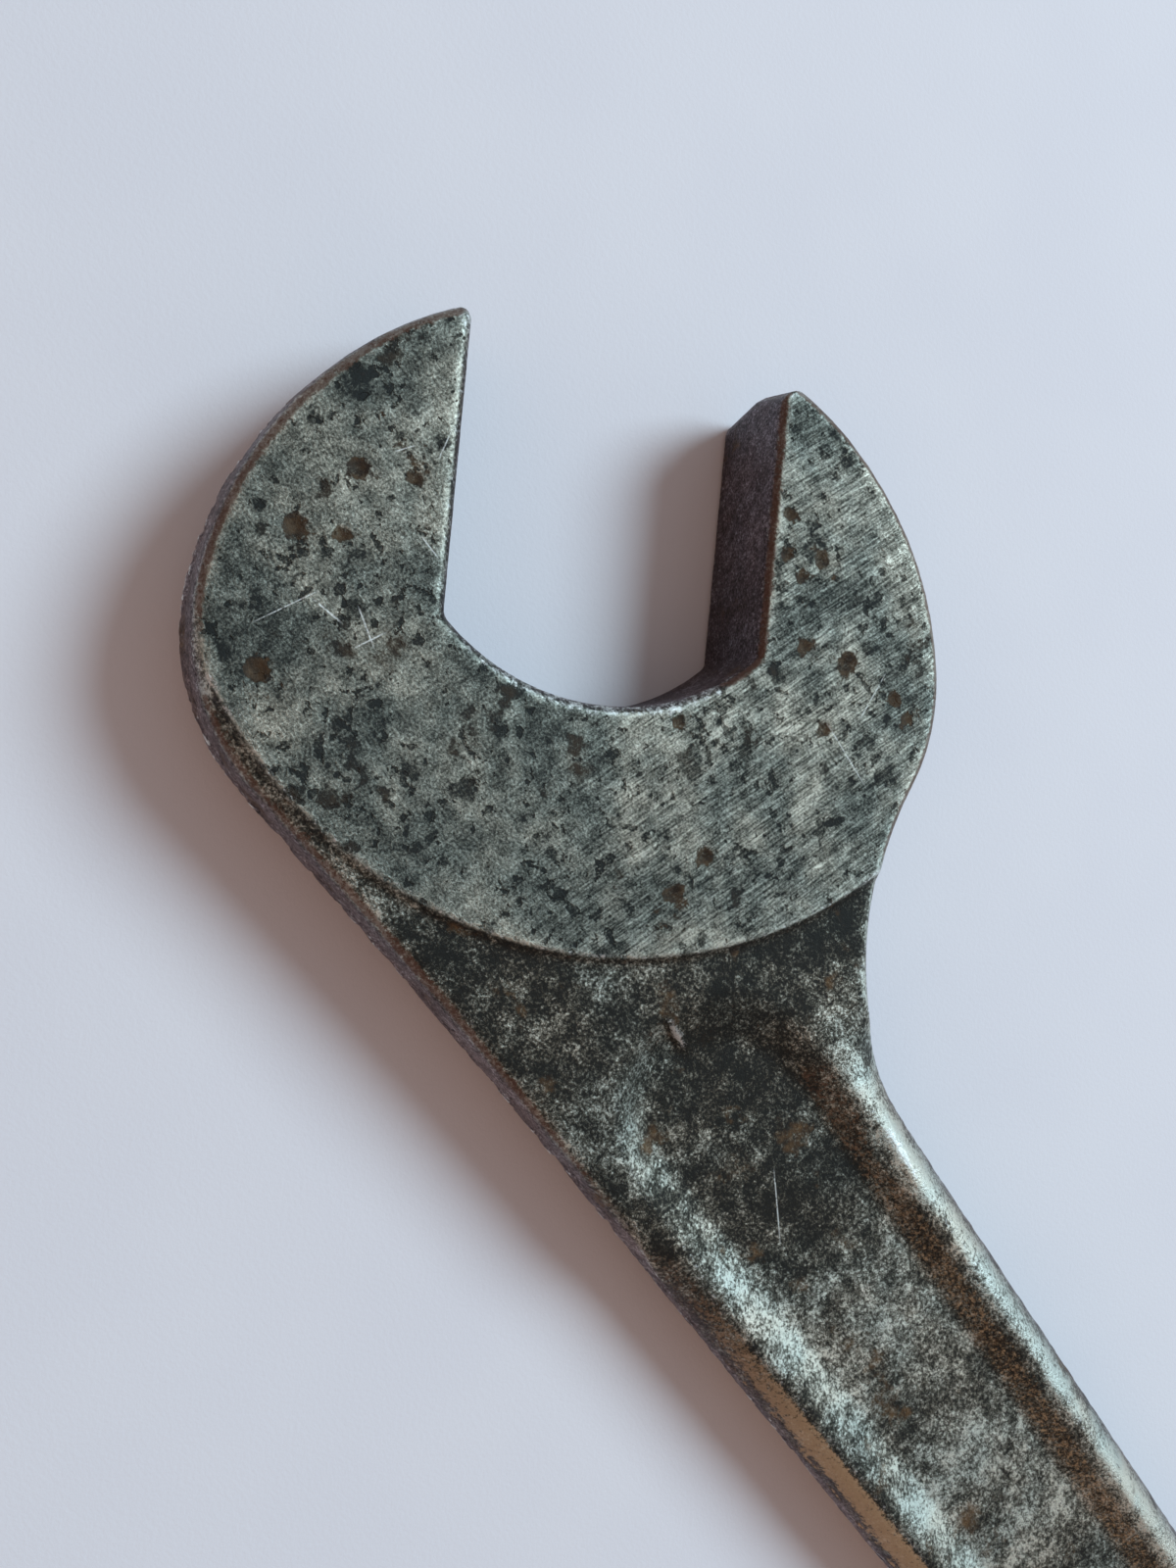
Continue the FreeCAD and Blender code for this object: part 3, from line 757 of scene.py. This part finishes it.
def forgedSteel():
    material = bpy.data.materials.new("worn forged steel")
    material.use_nodes = True
    tree = material.node_tree
    shader = tree.nodes["Principled BSDF"]
    vector = mmVector(tree)
    ground, side, wall, wear, rubAndHighlight, edge, edgeRustAndReflection, pit, wheel = (attribute(tree, name) for name in markNames)

    # the ground faces: fine grain, wheel scratches, scattered dark specks
    faceSpeck = useGroup(tree, "speckle", {
        "Vector": vector, **steelLook["faceSpeckle"],
        "Amount": mathNode(tree, "MULTIPLY_ADD", rubAndHighlight, -1.0, steelLook["faceDark"])})
    grain = useGroup(tree, "grain", {"Vector": vector, **steelLook["grind"]})
    specks = useGroup(tree, "pitting", {"Vector": vector, **steelLook["specks"]})
    patches = useGroup(tree, "pitting", {"Vector": vector, **steelLook["patches"]})
    scratch = mathNode(tree, "MULTIPLY", mathNode(tree, "SUBTRACT", grain.outputs["Height"], 0.5), wheel)
    ragged = mathNode(tree, "SUBTRACT", noiseNode(tree, vector, 0.9, 3.0, 0.6), 0.5)
    pitEdge = mathNode(tree, "MULTIPLY_ADD", ragged, 2.0, pit)
    pitMask = rampNode(tree, times(tree, pitEdge, mathNode(tree, "GREATER_THAN", pit, 0.02)), 0.3, 0.6)
    faceDark = mathNode(tree, "MULTIPLY_ADD", scratch, steelLook["grindStrength"], faceSpeck.outputs["Mask"])
    faceDark = mathNode(tree, "MULTIPLY_ADD", edge, -0.45, faceDark)
    faceDark = mathNode(tree, "MULTIPLY_ADD", patches.outputs["Mask"], 0.28, faceDark)
    faceDark = mathNode(tree, "MULTIPLY_ADD", specks.outputs["Mask"], 0.44, faceDark)
    faceDark = mathNode(tree, "MULTIPLY_ADD", pitMask, 0.5, faceDark, clamp=True)

    # the forged skin: bright flecks on dark scale, thickest where it is rubbed, and on the crests and the
    # window side as a painted highlight
    skinSpeck = useGroup(tree, "speckle", {
        "Vector": vector, **steelLook["skinSpeckle"],
        "Amount": mathNode(tree, "SUBTRACT", steelLook["skinDark"], rubAndHighlight)})
    sideSpeck = useGroup(tree, "speckle", {"Vector": vector, **steelLook["sideSpeckle"]})
    rust = useGroup(tree, "rust", {"Vector": vector, **steelLook["rust"]})

    colour = mixColour(tree, ground, colourRamp(tree, skinSpeck.outputs["Mask"], steelLook["skinStops"]),
                       colourRamp(tree, faceDark, steelLook["faceStops"]))
    sideMask = sideSpeck.outputs["Mask"]
    colour = mixColour(tree, side, colour, colourRamp(tree, sideMask, steelLook["sideStops"]))
    # painted shade: the jaw walls in the mouth between the arms get the darker ramp
    colour = mixColour(tree, wall, colour, colourRamp(tree, sideMask, steelLook["wallShadeStops"]))
    dark = mixValue(tree, ground, skinSpeck.outputs["Mask"], faceDark)
    # warm and cool drifts in the tarnish
    drift = rampNode(tree, noiseNode(tree, vector, 9.0, 4.0, 0.6), 0.35, 0.65)
    tint = mixColour(tree, drift, steelLook["warmDrift"], steelLook["coolDrift"])
    colour = mixColour(tree, 1.0, colour, tint, "MULTIPLY")
    flecks = mathNode(tree, "SUBTRACT", noiseNode(tree, vector, 0.5, 4.0, 0.8), 0.5)
    worn = rampNode(tree, mathNode(tree, "MULTIPLY_ADD", flecks, 2.4, wear), 0.35, 0.85)
    worn = times(tree, worn, mathNode(tree, "SUBTRACT", 1.0, times(tree, edgeRustAndReflection, 0.55)), 0.85)
    colour = mixColour(tree, worn, colour, steelLook["rubbed"])
    # a line round the edges: rust on the head, and on the handle a painted warm reflection on the slopes
    # facing away from the window; rust blooms off the ground faces, brown floors in the pits
    edgeLine = rampNode(tree, mathNode(tree, "MULTIPLY_ADD", flecks, 2.4, edgeRustAndReflection), 0.35, 0.85)
    offFace = mathNode(tree, "SUBTRACT", 1.0, times(tree, ground, 0.75))
    rustAndWarmReflection = times(tree, rust.outputs["Mask"], offFace, mathNode(tree, "SUBTRACT", 1.0, worn), 0.8)
    rustAndWarmReflection = mathNode(tree, "MAXIMUM", rustAndWarmReflection, times(tree, edgeLine, 0.72))
    rustAndWarmReflection = mathNode(tree, "MAXIMUM", rustAndWarmReflection, times(tree, pitMask, ground, 0.45))
    apart = tree.nodes.new("ShaderNodeSeparateXYZ")
    tree.links.new(vector, apart.inputs[0])
    tanFull = steelLook["tanFrom"] - steelLook["tanRun"]
    # the edge line is rust on the head and a painted tan reflection on the handle
    onHandle = rampNode(tree, apart.outputs["X"], steelLook["tanFrom"], tanFull)
    edgeColour = mixColour(tree, onHandle, steelLook["edgeRust"], steelLook["warmReflectionTan"])
    colour = mixColour(tree, rustAndWarmReflection, colour, mixColour(tree, edgeLine, rust.outputs["Colour"], edgeColour))
    colour = addScratches(tree, vector, colour)
    tree.links.new(colour, shader.inputs["Base Color"])
    dull = mathNode(tree, "MAXIMUM", times(tree, dark, mathNode(tree, "SUBTRACT", 1.0, worn)),
                    times(tree, rustAndWarmReflection, 0.8))
    dull = mathNode(tree, "MAXIMUM", dull, times(tree, wall, 0.6))
    tree.links.new(mixValue(tree, dull, *steelLook["metallic"]), shader.inputs["Metallic"])
    tree.links.new(mixValue(tree, dull, *steelLook["roughness"]), shader.inputs["Roughness"])
    shader.inputs["Specular IOR Level"].default_value = 0.3

    # relief in mm: specks are shallow hollows, the wheel's scratches finer than both
    relief = times(tree, dark, -0.04)
    relief = mathNode(tree, "MULTIPLY_ADD", times(tree, specks.outputs["Mask"], ground), -0.08, relief)
    relief = mathNode(tree, "MULTIPLY_ADD", times(tree, scratch, ground), 0.10, relief)
    relief = mathNode(tree, "MULTIPLY_ADD", noiseNode(tree, vector, 0.4, 4.0, 0.8), 0.10, relief)
    bump = tree.nodes.new("ShaderNodeBump")
    bump.inputs["Strength"].default_value = 1.0
    bump.inputs["Distance"].default_value = mm
    tree.links.new(relief, bump.inputs["Height"])
    tree.links.new(bump.outputs[0], shader.inputs["Normal"])
    return material


def paperSheet():
    material = bpy.data.materials.new("white paper")
    material.use_nodes = True
    tree = material.node_tree
    shader = tree.nodes["Principled BSDF"]
    vector = mmVector(tree)
    fibre = noiseNode(tree, vector, 0.5, 4.0, 0.65)
    tone = mixColour(tree, rampNode(tree, noiseNode(tree, vector, 30.0, 2.0), 0.3, 0.7),
                     (0.80, 0.81, 0.86), (0.82, 0.83, 0.875))
    tree.links.new(tone, shader.inputs["Base Color"])
    shader.inputs["Roughness"].default_value = 0.9
    shader.inputs["Specular IOR Level"].default_value = 0.2
    bump = tree.nodes.new("ShaderNodeBump")
    bump.inputs["Strength"].default_value = 0.35
    bump.inputs["Distance"].default_value = 0.1 * mm
    tree.links.new(fibre, bump.inputs["Height"])
    tree.links.new(bump.outputs[0], shader.inputs["Normal"])
    return material


# how the wrench has been handled, with a painted highlight and a painted warm reflection among the marks:
# lengths in mm, and a pair is where a mark fades in or out
handling = {
    "wear": (0.008, 0.035),        # how far the skin stands proud where it is rubbed bright
    "wearRounds": 3,
    "jawEdge": (18.0, 17.0),
    "jawEdgeFrom": (0, 4),
    "jawEdgeDull": 0.5,
    "paleRounds": 9,
    "paleGain": 2.2,
    "ridge": (25.4, 0.4),          # radius about the throat's centre, and width
    "ridgeSides": (10, 7),
    "ridgePale": 0.7,
    "handleFrom": (-30, -45),
    "brownFacing": (0.16, 0.42),
    "brownTilt": (0.45, 0.7),
    "brownHeight": (1.4, 2.4),
    "innerRimLess": 0.5,           # how much less brown each of these is
    "stepLess": 0.75,
    "outerRimLess": 0.6,
    "outerRimRun": (-46, -84),
    "hollowBrown": 0.35,           # and how much of the brown the hollow's nose keeps
    "noseEnd": -46,
    "stepMiddle": 0.3,
    "stepWidth": (2.0, 0.8),
    "stepHeight": (5.9, 6.3),
    "bevelTilt": ((0.97, 0.9), (0.3, 0.5)),
    "bevelSpan": (-18, 0),
    "bevelFrom": 1,
    "outerCrest": (2.4, 2.4),      # how far inside the rim's crest it is brightest, and the band's width; both bands lie on the slopes facing the window, a painted highlight as well as rubbing
    "innerCrest": (-1.4, 2.2),
    "crestFrom": -28,              # mm from the head's centre, like every run along the handle below
    "innerCrestRun": (-38, -52),
    "noseCrestRun": (-54, -42),
    "noseCrestLess": 0.55,
    "crestShares": (0.88, 1.4),    # outer rim, inner rim; the inner rim is on the window side and gets more painted highlight
    "floorRun": (-50, -85),
    "floorInside": (2, 5),
    "sideRounds": (16, 50),
    "sideFar": 0.6,
    "sideRun": (-64, -44),
    # the window side beside the flanks gets more: painted highlight
    "innerSide": 1.5,
    "rubAndHighlight": (0.66, 0.32, 1.1),      # crest, floor, and the skin beside the flanks; crests and the window side are partly a painted highlight
    "faceRub": 0.10,
    "faceRubRun": (12, -14),       # the outer arm is duller than the inner
    "wheel": (0.25, 0.75),         # wheel scratches on the outer arm, and how much more on the inner
    "wheelRun": (4, -12),
    "wheelSlant": 0.3,
    "pitReach": (1.5, 0.3),        # shares of a pit's radius
    "pitsAbove": 6,
}


def wearMarks(spot, curve):
    # bright where the skin stands proud, less so along the jaw's edges
    jawEdge = smoothStep(*handling["jawEdge"], np.abs(spot["across"]))
    jawEdge = jawEdge * smoothStep(*handling["jawEdgeFrom"], spot["along"])
    return smoothStep(*handling["wear"], curve) * (1 - handling["jawEdgeDull"] * jawEdge)


def edgeMarks(spot, onFace, ends):
    # a pale rubbed strip just inside every edge of the ground faces, and a ring below the throat
    nearEdge = spread(1 - onFace, ends, handling["paleRounds"])
    pale = np.clip(handling["paleGain"] * onFace * nearEdge, 0, 1)
    ringRadius, ringWidth = handling["ridge"]
    fromThroat = np.hypot(spot["across"], spot["along"] - forging["throatCentre"])
    ridge = np.exp(-((fromThroat - ringRadius) / ringWidth) ** 2)
    ridge = ridge * smoothStep(*handling["ridgeSides"], np.abs(spot["across"]))
    return np.maximum(pale, handling["ridgePale"] * ridge * onFace)


def brownMarks(spot, normals, inside, ends):
    # brown where an edge turns outwards round the head, which is edge rust, thin at the face's step, and on
    # the inner arm's bevel; on the handle only the slopes facing away from the window, a painted warm
    # reflection
    outDir = np.column_stack((spot["x"], spot["y"] + forging["handleShift"]))
    outDir /= np.maximum(np.linalg.norm(outDir, axis=1), 0.001)[:, None]
    onHandle = smoothStep(*handling["handleFrom"], spot["x"])[:, None]
    # on the handle only slopes facing away from the window count: painted warm reflection
    outDir = outDir * (1 - onHandle) + onHandle * np.array((0.0, 1.0))
    onHandle = onHandle[:, 0]
    facing = np.einsum("ij,ij->i", outDir, normals[:, :2])
    tilt = np.abs(normals[:, 2])
    height = np.abs(spot["w"])
    offStep = np.abs(fromFaceCentre(spot) - forging["faceRadius"] - handling["stepMiddle"])
    step = smoothStep(*handling["stepWidth"], offStep) * smoothStep(*handling["stepHeight"], height)
    brown = smoothStep(*handling["brownFacing"], facing) * smoothStep(*handling["brownTilt"], tilt)
    brown *= smoothStep(*handling["brownHeight"], height)
    brown *= np.where(spot["y"] < 0, 1 - handling["innerRimLess"] * onHandle, 1)
    brown *= 1 - handling["stepLess"] * step
    brown *= np.where((inside > -1) & (spot["x"] > handling["noseEnd"]), handling["hollowBrown"], 1)
    fresh = handling["outerRimLess"] * (1 - smoothStep(*handling["outerRimRun"], spot["x"]))
    brown *= np.where(spot["y"] > 0, 1 - onHandle * fresh, 1)
    bevelHigh, bevelLow = handling["bevelTilt"]
    spanFrom, spanTo = handling["bevelSpan"]
    inSpan = (spot["across"] < spanTo) & (spot["across"] > spanFrom) & (spot["along"] > handling["bevelFrom"])
    bevel = smoothStep(*bevelHigh, tilt) * smoothStep(*bevelLow, tilt) * inSpan
    return spread(np.maximum(brown, bevel), ends, 1)


def rubAndHighlightMarks(spot, inside, onFace, onSide, ends):
    # rims and open handle are handled most, the neck least; the crest bands sit on the slopes facing the
    # window and that side gets more, so part of the brightness is a painted highlight
    x, outerSide = spot["x"], spot["y"] > 0
    middle = np.where(outerSide, handling["outerCrest"][0], handling["innerCrest"][0])
    width = np.where(outerSide, handling["outerCrest"][1], handling["innerCrest"][1])
    crest = np.exp(-((inside - middle) / width) ** 2) * (x < handling["crestFrom"])
    crest *= np.where(outerSide, 1, smoothStep(*handling["innerCrestRun"], x))
    crest *= 1 - handling["noseCrestLess"] * smoothStep(*handling["noseCrestRun"], x)
    crest *= np.where(outerSide, *handling["crestShares"])
    floor = smoothStep(*handling["floorRun"], x) * smoothStep(*handling["floorInside"], inside)
    near, far = (spread(onSide, ends, rounds) for rounds in handling["sideRounds"])
    nearSide = (near + handling["sideFar"] * far) * (1 - onSide)
    nearSide *= smoothStep(*handling["sideRun"], x) * np.where(spot["y"] < 0, handling["innerSide"], 1)
    crestRub, floorRub, sideRub = handling["rubAndHighlight"]
    rubAndHighlight = crestRub * crest + floorRub * floor + sideRub * nearSide
    faceRub = handling["faceRub"] * smoothStep(*handling["faceRubRun"], spot["across"])
    return spread(np.where(onFace > 0.5, faceRub, rubAndHighlight), ends, 2)


def wheelMarks(spot):
    least, more = handling["wheel"]
    slanted = spot["across"] + handling["wheelSlant"] * spot["along"]
    return least + more * smoothStep(*handling["wheelRun"], slanted)


def pitMarks(spot):
    outer, inner = handling["pitReach"]
    mask = np.zeros(len(spot["x"]))
    for pitAcross, pitAlong, radius in forging["pits"]:
        off = np.hypot(spot["across"] - pitAcross, spot["along"] - pitAlong)
        mask = np.maximum(mask, smoothStep(outer * radius, inner * radius, off))
    return mask * (np.abs(spot["w"]) > handling["pitsAbove"])


def thinOut(piece, points):
    # fewer triangles; each vertex left takes the marks of the nearest point of the full skin
    marks = {name: load(piece.data, name) for name in markNames}
    skinPoints = kdtree.KDTree(len(points))
    for index, point in enumerate(points):
        skinPoints.insert(point, index)
    skinPoints.balance()
    thin = piece.modifiers.new("thin", "DECIMATE")
    thin.ratio = min(1.0, forging["triangles"] / (len(piece.data.polygons) * 2))
    bakeModifiers(piece)
    nearest = np.array([skinPoints.find(point)[1] for point in readPoints(piece.data)])
    for name, values in marks.items():
        store(piece.data, name, values[nearest])


steel = forgedSteel()
useTree(wrench, forgingSkin(), {
    "Waviness": forging["waviness"],
    "Skin Grain": forging["skinGrain"],
    "Shear Marks": forging["shearMarks"],
    "Mid Height": midPlane / mm,
    "Steel": steel,
})
bakeModifiers(wrench)
print("forging skin made")

mesh = wrench.data
ends = edgeEnds(mesh)
points = np.clip(readPoints(mesh), *np.array(cadBox))      # the skin stays inside the forging's own box
writePoints(mesh, points)
normals = readNormals(mesh)
spot = places(points)
inside = insideDish(spot["x"], spot["y"])
onFace, onSide = load(mesh, "ground"), load(mesh, "side")
store(mesh, "wear", wearMarks(spot, spread(bulge(points, normals, ends), ends, handling["wearRounds"])))
store(mesh, "edge", edgeMarks(spot, onFace, ends))
# edge rust round the head, painted warm reflection on the handle's slopes facing away from the window
store(mesh, "edgeRustAndReflection", brownMarks(spot, normals, inside, ends))
# rubbed bright, with a painted highlight on the slopes facing the window
store(mesh, "rubAndHighlight", rubAndHighlightMarks(spot, inside, onFace, onSide, ends))
store(mesh, "wheel", wheelMarks(spot))
store(mesh, "pit", pitMarks(spot))
print("wear and rust marked")

thinOut(wrench, points)
mesh = wrench.data
mesh.materials.clear()
mesh.materials.append(steel)
mesh.polygons.foreach_set("use_smooth", np.ones(len(mesh.polygons), dtype=bool))
print("wrench:", len(mesh.polygons), "faces")

# the paper under the wrench
half = 5.0      # metres, wide enough to have no edge in view
paperMesh = bpy.data.meshes.new("paper")
corners = [(-half, -half, 0), (half, -half, 0), (half, half, 0), (-half, half, 0)]
paperMesh.from_pydata(corners, [], [(0, 1, 2, 3)])
paper = bpy.data.objects.new("paper", paperMesh)
scene.collection.objects.link(paper)
paperMesh.materials.append(paperSheet())

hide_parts("wrench_forging")
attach(wrench, "root")
